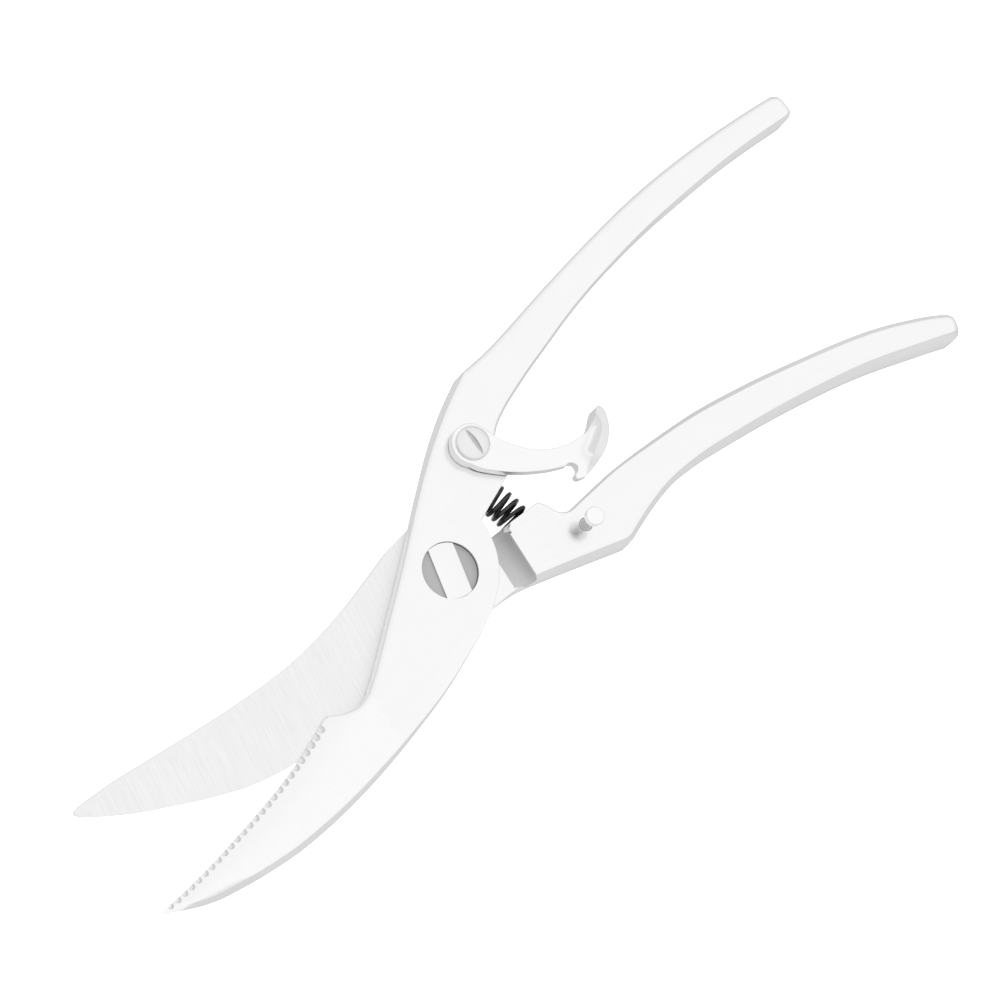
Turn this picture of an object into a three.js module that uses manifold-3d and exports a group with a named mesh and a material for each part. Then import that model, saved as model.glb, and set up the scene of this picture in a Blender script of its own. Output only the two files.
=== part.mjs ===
// Poultry shears, drawn open, with the catch released.
//
// Frame (mm): the shears lie flat on z = 0. +Z points up, away from the surface they lie on, +X runs from
// the pivot to the handle ends, and +Y points to the front half's handle. The origin is on the pivot's axis,
// at the rear face of the pivot nut. The halves meet at mid height: the front half's blade is the upper
// one, the rear half's blade the lower one.

import * as THREE from 'three';
import { mergeVertices } from 'three/addons/utils/BufferGeometryUtils.js';
import Module from 'manifold-3d';

// ---------------------------------------------------------------- driving dimensions (mm)

const HANDLE_THICKNESS = 9.6;        // full thickness of both handles
const PLATE_THICKNESS = 4.7;         // joint plate and blade root of each half
const HANDLE_EDGE_ROUNDING = 1.4;    // rounded long edges of the handles
const SPINE_CHAMFER = 1.6;           // on the outer face of each blade's back
const RELIEF_FILLET_RADIUS = 4;      // concave fillet between joint plate and handle root

const PIVOT_HEAD_RADIUS = 6.55;
const PIVOT_HEAD_THICKNESS = 2.05;
const PIVOT_HEAD_SINK = 0.3;         // the head lies this far below the front face
const PIVOT_SHANK_RADIUS = 4;
const PIVOT_THREAD_RADIUS = 2.6;
const PIVOT_BAR_WIDTH = 6.2;         // raised bar between the two spanner pits
const PIVOT_PIT_DEPTH = 0.5;
const PIVOT_BAR_ANGLE = 70;          // degrees from +X, of the bar on the front
const PIVOT_NUT_RADIUS = 6.5;
const PIVOT_NUT_THICKNESS = 2;
const PIVOT_NUT_FLOOR = 0.8;         // steel under the nut's blind thread
const NUT_PIT_DEPTH = 0.5;
const NUT_RECESS_Z = 2.9;            // depth of the recess for nut and disc spring
const DISC_SPRING_THICKNESS = 0.35;
const RUNNING_CLEARANCE = 0.1;       // round everything that turns
const HOLE_END_CLEARANCE = 0.3;      // under the foot of a screw, stud or bolt

const SPRING_ARC_RADIUS = 22.4;      // the spring's centre line is an arc round the pivot
const SPRING_COIL_RADIUS = 3.42;     // to the middle of the wire
const SPRING_WIRE_RADIUS = 0.5;
const SPRING_TURNS = 9;
const SPRING_WIRE_SIDES = 6;
const SPRING_STEPS_PER_TURN = 12;
const SPRING_START_ANGLE = -14;      // degrees, in the rear half's bore
const SPRING_END_ANGLE = 30;         // degrees, in the front half's bore
const SPRING_BORE_RADIUS = 4.25;
const SPRING_REAR_MOUTH_ANGLE = -1;
const SPRING_FRONT_MOUTH_ANGLE = 17;

const LEVER_PIVOT = new THREE.Vector2(23.1, 18.6);
const LEVER_THICKNESS = 2.6;
const LEVER_EYE_RADIUS = 4.9;
const LEVER_NOTCH_CENTRE = new THREE.Vector2(37.95, 0);
const LEVER_NOTCH_RADIUS = 1.45;
const LEVER_TAB_HEIGHT = 3.4;        // thumb tab above the lever's upper face
const LEVER_WASHER_THICKNESS = 0.4;
const LEVER_SCREW_HEAD_RADIUS = 4;
const LEVER_SCREW_SHANK_RADIUS = 1.9;
const LEVER_SCREW_FOOT_Z = 4;
const LEVER_SCREW_RIM = 0.35;        // straight side of the head, below its dome
const LEVER_SCREW_DOME = 1.15;
const LEVER_SCREW_SLOT_WIDTH = 1;
const LEVER_SCREW_SLOT_ANGLE = -5;
const LEVER_WASHER_RADIUS = 4.7;

const STUD_CENTRE = new THREE.Vector2(33, -11.6);
const STUD_HEAD_RADIUS = 2.2;
const STUD_NECK_RADIUS = 1;
const STUD_TOP = 16.2;               // above the surface that the shears lie on
const STUD_HEAD_THICKNESS = 1.6;
const STUD_HEAD_BEVEL = 0.3;
const STUD_SHANK_RADIUS = 1.5;
const STUD_FOOT_Z = 3;

const SERRATION_PITCH = 2.08;
const SERRATION_START = 3.4;         // from the edge's heel to the middle of the first groove
const SERRATION_COUNT = 26;
const SERRATION_RADIUS = 0.85;
const SERRATION_SINK = 0.25;         // the grooves' centres lie this far outside the edge
const BLADE_TIP_THICKNESS = 2.4;
const BLADE_TAPER_START_X = -36;     // the blades get thinner from here to their tips
const BLADE_TIP_X = -100;
const GRIND_WIDTH = 7;               // flat grind on the outer face, behind each cutting edge
const GRIND_EDGE_THICKNESS = 0.9;    // steel left at the cutting edge

// ---------------------------------------------------------------- dimensions that follow

const CONTACT_Z = HANDLE_THICKNESS / 2;
const FRONT_PLATE_Z = HANDLE_THICKNESS - PLATE_THICKNESS;
const FRONT_FACE_Z = HANDLE_THICKNESS;
const LEVER_Z = FRONT_FACE_Z + LEVER_WASHER_THICKNESS;
const LEVER_TOP_Z = LEVER_Z + LEVER_THICKNESS;
const PIVOT_HEAD_TOP = FRONT_FACE_Z - PIVOT_HEAD_SINK;
const PIVOT_HEAD_Z = PIVOT_HEAD_TOP - PIVOT_HEAD_THICKNESS;
const ROUND_SEGMENTS = 32;
const PIVOT_SEGMENTS = 48;
const REACH = 300;                   // larger than the whole object, for cutting tools

const wasm = await Module();
wasm.setup();

// ---------------------------------------------------------------- shape helpers

const degrees = THREE.MathUtils.degToRad;
const points2 = (pairs) => pairs.map(([x, y]) => new THREE.Vector2(x, y));

// Points along a stretch of outline: a straight line, or a smooth curve through three or more points.
function along(stretch) {
  const points = points2(stretch);
  return points.length > 2 ? new THREE.SplineCurve(points).getPoints(2 * (points.length - 1)) : points;
}

// A closed outline with a sharp corner wherever two stretches meet.
function outline(stretches) {
  return new THREE.Shape(stretches.flatMap((stretch) => along(stretch).slice(0, -1)));
}

function arc(centre, radius, fromDegrees, toDegrees, steps = 8) {
  const curve = new THREE.EllipseCurve(centre.x, centre.y, radius, radius, degrees(fromDegrees),
    degrees(toDegrees), toDegrees < fromDegrees);
  return curve.getPoints(steps).map((point) => [point.x, point.y]);
}

function plate(shape, bottom, top) {
  const settings = { depth: top - bottom, bevelEnabled: false };
  return new THREE.ExtrudeGeometry(shape, settings).translate(0, 0, bottom);
}

// A solid of revolution about Z, from (radius, height) pairs that start and end on the axis or close up.
function turned(profile, segments = ROUND_SEGMENTS) {
  return new THREE.LatheGeometry(points2(profile), segments).rotateX(Math.PI / 2);
}

function cylinder(radius, bottom, top, segments = ROUND_SEGMENTS) {
  return turned([[0, bottom], [radius, bottom], [radius, top], [0, top]], segments);
}

function ring(inner, outer, bottom, top, segments = ROUND_SEGMENTS) {
  const corners = [[inner, bottom], [outer, bottom], [outer, top], [inner, top], [inner, bottom]];
  return turned(corners, segments);
}

// A section carried along a level curve: its first number is the depth below the curve, and its second
// the distance to the curve's left.
function sweep(section, stretch, z, steps) {
  const points = along(stretch).map((point) => new THREE.Vector3(point.x, point.y, z));
  const extrudePath = new THREE.CatmullRomCurve3(points);
  return new THREE.ExtrudeGeometry(new THREE.Shape(points2(section)), { extrudePath, steps });
}

function solid(geometry) {
  const bare = geometry.clone();
  bare.deleteAttribute('normal');
  bare.deleteAttribute('uv');
  const merged = mergeVertices(bare);
  const vertProperties = new Float32Array(merged.attributes.position.array);
  const triVerts = new Uint32Array(merged.index.array);
  return new wasm.Manifold(new wasm.Mesh({ numProp: 3, vertProperties, triVerts }));
}

const join = (...geometries) => geometries.map(solid).reduce((a, b) => a.add(b));
const cut = (body, ...tools) => tools.map(solid).reduce((a, b) => a.subtract(b), body);

function toGeometry(manifold) {
  const mesh = manifold.getMesh();
  const geometry = new THREE.BufferGeometry();
  geometry.setAttribute('position', new THREE.BufferAttribute(new Float32Array(mesh.vertProperties), 3));
  geometry.setIndex(new THREE.BufferAttribute(new Uint32Array(mesh.triVerts), 1));
  geometry.computeVertexNormals();
  return geometry;
}

// ---------------------------------------------------------------- outlines of the two halves
// Each outline runs counter-clockwise seen from above, so the steel is on its left.

const FRONT = {
  bladeEdge: [[-43.4, -7.1], [-53.2, -10.1], [-61.2, -12], [-69, -13.4], [-77, -14.5], [-85, -15.5],
    [-92.5, -16.1], [-100, -16.4]],
  spine: [[-100, -16.9], [-91.3, -21.4], [-82.3, -23.8], [-72, -25.4], [-64, -25.9], [-54, -25.6],
    [-43.1, -24.5], [-31.2, -22.5], [-18.8, -19.8], [-4.7, -15.4]],
  plateRim: [[-4.7, -15.4], [1.6, -12.7], [5, -10.6], [7.8, -8.4], [10, -6], [11.7, -3.4], [12.8, -0.7],
    [13.4, 1.5], [13.7, 4.1]],
  seat: [[13.7, 4.1], [26.9, 8.4]],
  handleInside: [[26.9, 8.4], [28.6, 13.6], [31, 17.3], [36.4, 20.1], [45.6, 22.9], [54.1, 25], [67.1, 28],
    [80, 30.1], [98, 32], [120, 32.8], [134, 32.6], [147, 31.8]],
  handleEnd: [[147, 31.8], [148.6, 33], [149, 35], [148.8, 37.4], [147.4, 38.7]],
  handleOutside: [[147.4, 38.7], [139.3, 39.5], [125.8, 40.4], [111.6, 40.7], [97.2, 40.2], [81.9, 38.7],
    [66.4, 36.7], [50.6, 34.3], [42.9, 33.3], [34.9, 32.9]],
  shank: [[34.9, 32.9], [24.3, 28.2], [10.7, 20.4], [-8.2, 7.3], [-21.6, -1.6], [-28.5, -6.2],
    [-33.3, -9]],
  boneNotch: [[-33.3, -9], [-36.6, -9.9], [-40, -9.2], [-43.4, -7.1]],
};

const REAR_PLATE_RADIUS = 13.2;
const REAR = {
  plateRim: arc(new THREE.Vector2(), REAR_PLATE_RADIUS, 0, 90, 12),
  bladeBack: [[0, 13.2], [-5.5, 12.6], [-11.6, 11.2], [-23.8, 8.6], [-37.6, 7], [-47.4, 6.9], [-58, 7.6],
    [-68.1, 8.7], [-80.5, 10.3], [-89.8, 11.5], [-98.6, 12]],
  tip: [[-98.6, 12], [-100.4, 11.7], [-100.5, 10.7], [-99.4, 9.6]],
  bladeEdge: [[-99.4, 9.6], [-95.8, 6.8], [-90, 3.1], [-82.7, -0.8], [-75.1, -4.6], [-67.1, -7.9],
    [-60.7, -9.6], [-55.2, -10.6], [-42, -12], [-24, -12.7]],
  plateBelow: [[-24, -12.7], [5.3, -12.6]],
  handleRoot: [[5.3, -12.6], [11.1, -13.1], [16.4, -14.3], [29.3, -18.2], [39.6, -21.4]],
  handleOutside: [[39.6, -21.4], [48.7, -18.9], [57.6, -17.4], [67.4, -17.5], [76.9, -18.6], [95.3, -21.6],
    [116.3, -26.3], [135.9, -32.7], [142, -34.9]],
  handleEnd: [[142, -34.9], [143.9, -34.4], [145.1, -32.6], [145.6, -30.6], [144.6, -28.9]],
  handleInside: [[144.6, -28.9], [138.7, -25.6], [128.2, -21], [117.2, -17.4], [99.7, -12.9], [88.3, -10.3],
    [74, -7.8], [60.4, -6.6], [47.4, -6], [36.9, -6.5], [33, -6.8], [30.9, -6.2], [29.6, -4.6],
    [28.9, -2.6], [27.6, -0.7]],
  seat: [[27.6, -0.7], [13.2, 0]],
};

// ---------------------------------------------------------------- cutting tools

// Everything beyond a wall, on one side of a level, with a fillet where the wall meets that level.
function reliefTool(wallPoint, facing, level, direction) {
  const r = RELIEF_FILLET_RADIUS;
  const far = level - direction * HANDLE_THICKNESS;
  const fillet = arc(new THREE.Vector2(r, 0), r, 180, 90).map(([s, h]) => [s, level + direction * (h - r)]);
  const section = new THREE.Shape(points2([[0, far], ...fillet, [REACH, level], [REACH, far]]));
  return new THREE.ExtrudeGeometry(section, { depth: REACH, bevelEnabled: false })
    .translate(0, 0, -REACH / 2)
    .rotateX(Math.PI / 2)
    .rotateZ(degrees(facing))
    .translate(wallPoint.x, wallPoint.y, 0);
}

// Rounds an edge at height z; up is 1 on an upper edge and -1 on a lower one.
function roundingTool(stretch, z, up) {
  const r = HANDLE_EDGE_ROUNDING;
  const round = arc(new THREE.Vector2(r, r), r, 180, 270, 2).reverse();
  const section = [[-1, -1], [r, -1], ...round, [-1, r]].map(([down, left]) => [up * down, left]);
  return sweep(section, stretch, z, 2 * stretch.length);
}

function chamferTool(stretch, z, up, width, depth) {
  const section = [[-1, -1], [depth, -1], [depth, 0], [0, width], [-1, width]];
  return sweep(section.map(([down, left]) => [up * down, left]), stretch, z, 2 * stretch.length);
}

// Thins a blade towards its tip: the half space above (or below) a plane that slopes from the taper's start.
function taperTool(z, up) {
  const length = BLADE_TAPER_START_X - BLADE_TIP_X;
  const slope = Math.atan2(PLATE_THICKNESS - BLADE_TIP_THICKNESS, length);
  return new THREE.BoxGeometry(2 * length, REACH, HANDLE_THICKNESS)
    .translate(-length, 0, up * HANDLE_THICKNESS / 2)
    .rotateY(-up * slope)
    .translate(BLADE_TAPER_START_X, 0, z);
}

const springPoint = (angle) => new THREE.Vector3(
  SPRING_ARC_RADIUS * Math.cos(degrees(angle)), SPRING_ARC_RADIUS * Math.sin(degrees(angle)), CONTACT_Z);

// A blind hole for one end of the spring, from its mouth to just past the last coil.
function springBore(mouthAngle, endAngle) {
  const mouth = springPoint(mouthAngle);
  const end = springPoint(endAngle);
  const inwards = end.clone().sub(mouth);
  const length = inwards.length() + 2 * SPRING_WIRE_RADIUS;
  const turn = new THREE.Quaternion().setFromUnitVectors(new THREE.Vector3(0, 0, 1), inwards.normalize());
  return cylinder(SPRING_BORE_RADIUS, -SPRING_WIRE_RADIUS, length)
    .applyQuaternion(turn)
    .translate(mouth.x, mouth.y, mouth.z);
}

function serrationTools() {
  const edge = new THREE.SplineCurve(points2(FRONT.bladeEdge));
  const tools = [];
  for (let index = 0; index < SERRATION_COUNT; index += 1) {
    const at = edge.getPointAt((SERRATION_START + index * SERRATION_PITCH) / edge.getLength());
    const tool = cylinder(SERRATION_RADIUS, FRONT_PLATE_Z - 1, FRONT_FACE_Z, 12);
    tools.push(tool.translate(at.x, at.y + SERRATION_SINK, 0));
  }
  return tools;
}

// ---------------------------------------------------------------- the two forged halves

function frontHalf() {
  const blank = solid(plate(outline(Object.values(FRONT)), 0, HANDLE_THICKNESS));
  const handleEdges = [FRONT.handleInside, FRONT.handleOutside, FRONT.shank];
  return toGeometry(cut(
    blank,
    ...handleEdges.flatMap((edge) => [roundingTool(edge, HANDLE_THICKNESS, 1), roundingTool(edge, 0, -1)]),
    reliefTool(new THREE.Vector2(15.8, 6.7), 205.8, FRONT_PLATE_Z, 1),
    taperTool(FRONT_FACE_Z, 1),
    chamferTool(FRONT.spine, FRONT_FACE_Z, 1, SPINE_CHAMFER, SPINE_CHAMFER),
    chamferTool(FRONT.bladeEdge, FRONT_FACE_Z, 1, GRIND_WIDTH, PLATE_THICKNESS - GRIND_EDGE_THICKNESS),
    ...serrationTools(),
    cylinder(PIVOT_SHANK_RADIUS + RUNNING_CLEARANCE, -1, FRONT_FACE_Z + 1),
    cylinder(PIVOT_HEAD_RADIUS + RUNNING_CLEARANCE, PIVOT_HEAD_Z - RUNNING_CLEARANCE, FRONT_FACE_Z + 1,
      PIVOT_SEGMENTS),
    springBore(SPRING_FRONT_MOUTH_ANGLE, SPRING_END_ANGLE),
    cylinder(LEVER_SCREW_SHANK_RADIUS + RUNNING_CLEARANCE, LEVER_SCREW_FOOT_Z - HOLE_END_CLEARANCE,
      FRONT_FACE_Z + 1).translate(LEVER_PIVOT.x, LEVER_PIVOT.y, 0),
  ));
}

function rearHalf() {
  const blank = solid(plate(outline(Object.values(REAR)), 0, HANDLE_THICKNESS));
  const handleEdges = [REAR.handleInside, REAR.handleOutside, REAR.handleRoot];
  return toGeometry(cut(
    blank,
    ...handleEdges.flatMap((edge) => [roundingTool(edge, HANDLE_THICKNESS, 1), roundingTool(edge, 0, -1)]),
    reliefTool(new THREE.Vector2(17.1, -1.7), 171.3, PLATE_THICKNESS, -1),
    taperTool(0, -1),
    chamferTool(REAR.bladeBack, 0, -1, SPINE_CHAMFER, SPINE_CHAMFER),
    chamferTool(REAR.bladeEdge, 0, -1, GRIND_WIDTH, PLATE_THICKNESS - GRIND_EDGE_THICKNESS),
    cylinder(PIVOT_SHANK_RADIUS + RUNNING_CLEARANCE, -1, HANDLE_THICKNESS),
    cylinder(PIVOT_NUT_RADIUS + RUNNING_CLEARANCE, -1, NUT_RECESS_Z, PIVOT_SEGMENTS),
    springBore(SPRING_REAR_MOUTH_ANGLE, SPRING_START_ANGLE),
    cylinder(STUD_SHANK_RADIUS + RUNNING_CLEARANCE, STUD_FOOT_Z - HOLE_END_CLEARANCE, HANDLE_THICKNESS + 1)
      .translate(STUD_CENTRE.x, STUD_CENTRE.y, 0),
  ));
}

// ---------------------------------------------------------------- pivot hardware

// Cuts a round face down on both sides of a bar that is left across it at the given angle.
function spannerPits(bottom, top, barAngle) {
  return [-1, 1].map((side) => new THREE.BoxGeometry(REACH, REACH, top - bottom)
    .translate(0, side * (REACH + PIVOT_BAR_WIDTH) / 2, (bottom + top) / 2)
    .rotateZ(degrees(barAngle)));
}

function pivotBolt() {
  const threadFoot = PIVOT_NUT_FLOOR + HOLE_END_CLEARANCE;
  const bolt = solid(turned([
    [0, threadFoot], [PIVOT_THREAD_RADIUS, threadFoot], [PIVOT_THREAD_RADIUS, NUT_RECESS_Z],
    [PIVOT_SHANK_RADIUS, NUT_RECESS_Z], [PIVOT_SHANK_RADIUS, PIVOT_HEAD_Z], [PIVOT_HEAD_RADIUS, PIVOT_HEAD_Z],
    [PIVOT_HEAD_RADIUS, PIVOT_HEAD_TOP], [0, PIVOT_HEAD_TOP],
  ], PIVOT_SEGMENTS));
  const pits = spannerPits(PIVOT_HEAD_TOP - PIVOT_PIT_DEPTH, PIVOT_HEAD_TOP + 1, PIVOT_BAR_ANGLE);
  return toGeometry(cut(bolt, ...pits));
}

function pivotNut() {
  const nut = join(cylinder(PIVOT_NUT_RADIUS, 0, PIVOT_NUT_THICKNESS, PIVOT_SEGMENTS));
  const thread = cylinder(PIVOT_THREAD_RADIUS + RUNNING_CLEARANCE, PIVOT_NUT_FLOOR, PIVOT_NUT_THICKNESS + 1);
  const pits = spannerPits(-1, NUT_PIT_DEPTH, 0);
  return toGeometry(cut(nut, thread, ...pits));
}

// A dished disc spring between the nut and the bottom of the rear half's recess.
function pivotSpringWasher() {
  const low = PIVOT_NUT_THICKNESS + RUNNING_CLEARANCE;
  const high = NUT_RECESS_Z - RUNNING_CLEARANCE - DISC_SPRING_THICKNESS;
  const inner = PIVOT_SHANK_RADIUS + RUNNING_CLEARANCE;
  const outer = PIVOT_NUT_RADIUS - RUNNING_CLEARANCE;
  return turned([
    [inner, high], [outer, low], [outer, low + DISC_SPRING_THICKNESS],
    [inner, high + DISC_SPRING_THICKNESS], [inner, high],
  ]);
}

// ---------------------------------------------------------------- handle spring

// A coil whose centre line bends along an arc round the pivot.
class ArcCoil extends THREE.Curve {
  getPoint(t, target = new THREE.Vector3()) {
    const angle = degrees(THREE.MathUtils.lerp(SPRING_START_ANGLE, SPRING_END_ANGLE, t));
    const turn = 2 * Math.PI * SPRING_TURNS * t;
    const radius = SPRING_ARC_RADIUS + SPRING_COIL_RADIUS * Math.cos(turn);
    const height = CONTACT_Z + SPRING_COIL_RADIUS * Math.sin(turn);
    return target.set(radius * Math.cos(angle), radius * Math.sin(angle), height);
  }
}

function handleSpring() {
  const section = arc(new THREE.Vector2(), SPRING_WIRE_RADIUS, 0, 360, SPRING_WIRE_SIDES).slice(0, -1);
  const settings = { extrudePath: new ArcCoil(), steps: SPRING_STEPS_PER_TURN * SPRING_TURNS };
  return new THREE.ExtrudeGeometry(new THREE.Shape(points2(section)), settings);
}

// ---------------------------------------------------------------- catch

function lockLever() {
  const eye = arc(LEVER_PIVOT, LEVER_EYE_RADIUS, 30, 225, 16);
  const notch = arc(LEVER_NOTCH_CENTRE, LEVER_NOTCH_RADIUS, 115, -97, 10);
  const lower = [eye.at(-1), [20.9, 12.9], [24.1, 9.6], [27.9, 6.5], [31.8, 4], [34.4, 2.6], notch[0]];
  const beak = [notch.at(-1), [37.4, -2], [37.7, -2.8], [39.5, -3.4]];
  const tail = [[39.5, -3.4], [41.5, -3.1], [44, -2.4], [47.6, -0.9], [50.9, 2], [52.8, 5.2]];
  const horn = [[52.8, 5.2], [52.6, 6.8], [51.5, 7.2], [50.2, 6.4]];
  const upper = [[50.2, 6.4], [47.6, 4.7], [45.4, 4.5], [42.5, 4.8], [39.8, 5.5], [36.4, 7.2], [33.6, 9.4],
    [31, 12.6], [29.4, 15.4], eye[0]];
  const arm = plate(outline([eye, lower, notch, beak, tail, horn, upper]), LEVER_Z, LEVER_TOP_Z);
  const ridge = [[50.2, 6.4], [49.4, 3.4], [46.7, 1.2], [43.6, -0.4], [41.2, -1.7], [39.5, -3.4]];
  const tab = plate(outline([tail, horn, ridge]), LEVER_Z, LEVER_TOP_Z + LEVER_TAB_HEIGHT);
  const eyeHole = cylinder(LEVER_SCREW_SHANK_RADIUS + RUNNING_CLEARANCE, LEVER_Z - 1, LEVER_TOP_Z + 1)
    .translate(LEVER_PIVOT.x, LEVER_PIVOT.y, 0);
  return toGeometry(cut(join(arm, tab), eyeHole));
}

function leverScrew() {
  const seat = LEVER_TOP_Z + RUNNING_CLEARANCE;
  const rim = seat + LEVER_SCREW_RIM;
  const dome = arc(new THREE.Vector2(), LEVER_SCREW_HEAD_RADIUS, 0, 90, 4)
    .map(([radius, rise]) => [radius, rim + rise * LEVER_SCREW_DOME / LEVER_SCREW_HEAD_RADIUS]);
  const screw = solid(turned([
    [0, LEVER_SCREW_FOOT_Z], [LEVER_SCREW_SHANK_RADIUS, LEVER_SCREW_FOOT_Z],
    [LEVER_SCREW_SHANK_RADIUS, seat], [LEVER_SCREW_HEAD_RADIUS, seat], ...dome,
  ]));
  const slot = new THREE.BoxGeometry(LEVER_SCREW_SLOT_WIDTH, REACH, 2)
    .rotateZ(degrees(LEVER_SCREW_SLOT_ANGLE))
    .translate(0, 0, rim + 1);
  return toGeometry(cut(screw, slot)).translate(LEVER_PIVOT.x, LEVER_PIVOT.y, 0);
}

function leverWasher() {
  return ring(LEVER_SCREW_SHANK_RADIUS + RUNNING_CLEARANCE, LEVER_WASHER_RADIUS,
    FRONT_FACE_Z + RUNNING_CLEARANCE, LEVER_Z - RUNNING_CLEARANCE)
    .translate(LEVER_PIVOT.x, LEVER_PIVOT.y, 0);
}

function lockStud() {
  const underHead = STUD_TOP - STUD_HEAD_THICKNESS;
  const bevel = STUD_HEAD_BEVEL;
  return turned([
    [0, STUD_FOOT_Z], [STUD_SHANK_RADIUS, STUD_FOOT_Z], [STUD_SHANK_RADIUS, HANDLE_THICKNESS],
    [STUD_NECK_RADIUS, HANDLE_THICKNESS], [STUD_NECK_RADIUS, underHead], [STUD_HEAD_RADIUS, underHead],
    [STUD_HEAD_RADIUS, STUD_TOP - bevel], [STUD_HEAD_RADIUS - bevel, STUD_TOP], [0, STUD_TOP],
  ], 24).translate(STUD_CENTRE.x, STUD_CENTRE.y, 0);
}

// ---------------------------------------------------------------- assembly

const steel = (color, roughness) => new THREE.MeshStandardMaterial({ color, roughness, metalness: 1 });
const SATIN_STEEL = steel('#c9cacb', 0.35);
const GROUND_STEEL = steel('#bfc0c1', 0.42);
const POLISHED_STEEL = steel('#d4d5d6', 0.18);
const SPRING_STEEL = steel('#2b2c2e', 0.3);

function piece(name, geometry, material) {
  const mesh = new THREE.Mesh(geometry, material);
  mesh.name = name;
  return mesh;
}

const shears = new THREE.Group();
shears.add(
  piece('rear_half', rearHalf(), GROUND_STEEL),
  piece('lock_stud', lockStud(), POLISHED_STEEL),
  piece('pivot_bolt', pivotBolt(), SATIN_STEEL),
  piece('pivot_nut', pivotNut(), SATIN_STEEL),
  piece('pivot_spring_washer', pivotSpringWasher(), POLISHED_STEEL),
  piece('handle_spring', handleSpring(), SPRING_STEEL),
  piece('front_half', frontHalf(), SATIN_STEEL),
  piece('lever_washer', leverWasher(), POLISHED_STEEL),
  piece('lever_screw', leverScrew(), POLISHED_STEEL),
  piece('lock_lever', lockLever(), SATIN_STEEL),
);

export default shears;
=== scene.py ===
# Poultry shears: the visual model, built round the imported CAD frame.
#
# The frame's own axes are used: +X from the pivot to the handle ends, +Y towards the front half's handle,
# +Z up along the pivot. Shapes are written in millimetres and made into meshes in metres.

import math

import bpy
import numpy as np
from mathutils import Euler, Matrix, Vector
from mathutils.geometry import delaunay_2d_cdt


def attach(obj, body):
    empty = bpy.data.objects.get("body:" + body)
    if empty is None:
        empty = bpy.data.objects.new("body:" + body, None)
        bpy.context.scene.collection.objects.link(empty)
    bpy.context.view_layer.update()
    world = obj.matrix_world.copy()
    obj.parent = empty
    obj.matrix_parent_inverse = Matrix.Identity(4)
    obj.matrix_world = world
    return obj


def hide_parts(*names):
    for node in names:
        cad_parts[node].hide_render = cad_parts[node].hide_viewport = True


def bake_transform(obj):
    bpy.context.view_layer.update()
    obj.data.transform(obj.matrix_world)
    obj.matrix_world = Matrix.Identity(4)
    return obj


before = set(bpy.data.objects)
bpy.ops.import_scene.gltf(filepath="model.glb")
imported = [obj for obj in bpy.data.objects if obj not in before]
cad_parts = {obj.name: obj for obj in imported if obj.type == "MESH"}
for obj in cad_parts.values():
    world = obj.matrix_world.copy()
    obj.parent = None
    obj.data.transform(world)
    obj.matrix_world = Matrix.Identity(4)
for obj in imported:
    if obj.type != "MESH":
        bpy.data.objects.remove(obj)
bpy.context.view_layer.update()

# ---------------- driving dimensions (mm) and mesh settings

MM = 0.001
HANDLE_THICKNESS = 9.6
PLATE_THICKNESS = 4.7
FRONT_PLATE_Z = HANDLE_THICKNESS - PLATE_THICKNESS
CONTACT_Z = HANDLE_THICKNESS / 2
RELIEF_FILLET_RADIUS = 4.0
TAPER_START_X = -36.0
TAPER_END_X = -100.0
TIP_THICKNESS = 2.4
CLEARANCE = 0.1
WALL_DRAFT = 0.03
WALL_TOP_ROUNDING = 0.4
CUT_BELOW = -2.0  # cutters start or end here, outside the steel of the halves, the bolt and the nut
CUT_ABOVE = 12.0
HOLE_FLOOR_GAP = 0.3  # between a pin's foot and the floor of its hole

PIVOT_HEAD_RADIUS = 6.55
PIVOT_HEAD_TOP = 9.3
PIVOT_HEAD_Z = 7.25
PIVOT_SHANK_RADIUS = 4.0
PIVOT_THREAD_RADIUS = 2.6
PIVOT_BAR_WIDTH = 6.2
PIVOT_BAR_ANGLE = 70.0
PIVOT_PIT_DEPTH = 0.5
PIVOT_ROUNDING = 0.1
NUT_RADIUS = 6.5
NUT_THICKNESS = 2.0
NUT_FLOOR = 0.8
NUT_PIT_DEPTH = 0.5
NUT_RECESS_Z = 2.9
NUT_ROUNDING = 0.12
SPRING_WASHER_THICKNESS = 0.35
BAR_CUTTER_REACH = 12.0
BAR_CUTTER_WIDTH = 10.0

SPRING_ARC_RADIUS = 22.4
SPRING_COIL_RADIUS = 3.42
SPRING_WIRE_RADIUS = 0.5
SPRING_TURNS = 9
SPRING_START_ANGLE = -14.0
SPRING_END_ANGLE = 30.0
SPRING_BORE_RADIUS = 4.25
SPRING_REAR_MOUTH_ANGLE = -1.0
SPRING_FRONT_MOUTH_ANGLE = 17.0
SPRING_BORE_LEAD = 1.5  # the bore's cutter starts this far outside the mouth
SPRING_STEPS_PER_TURN = 48
SPRING_SIDES = 14
SPRING_END_DOME = 0.15

LEVER_PIVOT = np.array([23.1, 18.6])
LEVER_Z = 10.0
LEVER_TOP_Z = 12.6
LEVER_EYE_RADIUS = 4.9
LEVER_HOLE = (8.0, 14.0)
LEVER_NOTCH_CENTRE = np.array([37.95, 0.0])
LEVER_NOTCH_RADIUS = 1.45
TAB_TOP_Z = 16.0
TAB_CENTRE = (46.0, 1.5)
TAB_AREA_SCALE = 1.4
TAB_RAMP_WIDTH = 4.2  # the concave face between the arm and the tab's ridge
TAB_CLIMB_SHARE = 0.4  # the tab rises from the beak over this share of its length
TAB_TOP_SLOPE = 0.2  # the tab's top falls away from the ridge
SCREW_HEAD_RADIUS = 4.0
SCREW_SHANK_RADIUS = 1.9
SCREW_FOOT_Z = 4.0
SCREW_RIM_HEIGHT = 0.35
SCREW_DOME_HEIGHT = 1.15
SCREW_DOME_START = 0.12  # the dome starts at this angle, in radians
SCREW_SLOT_HALF_LENGTH = 3.9
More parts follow.
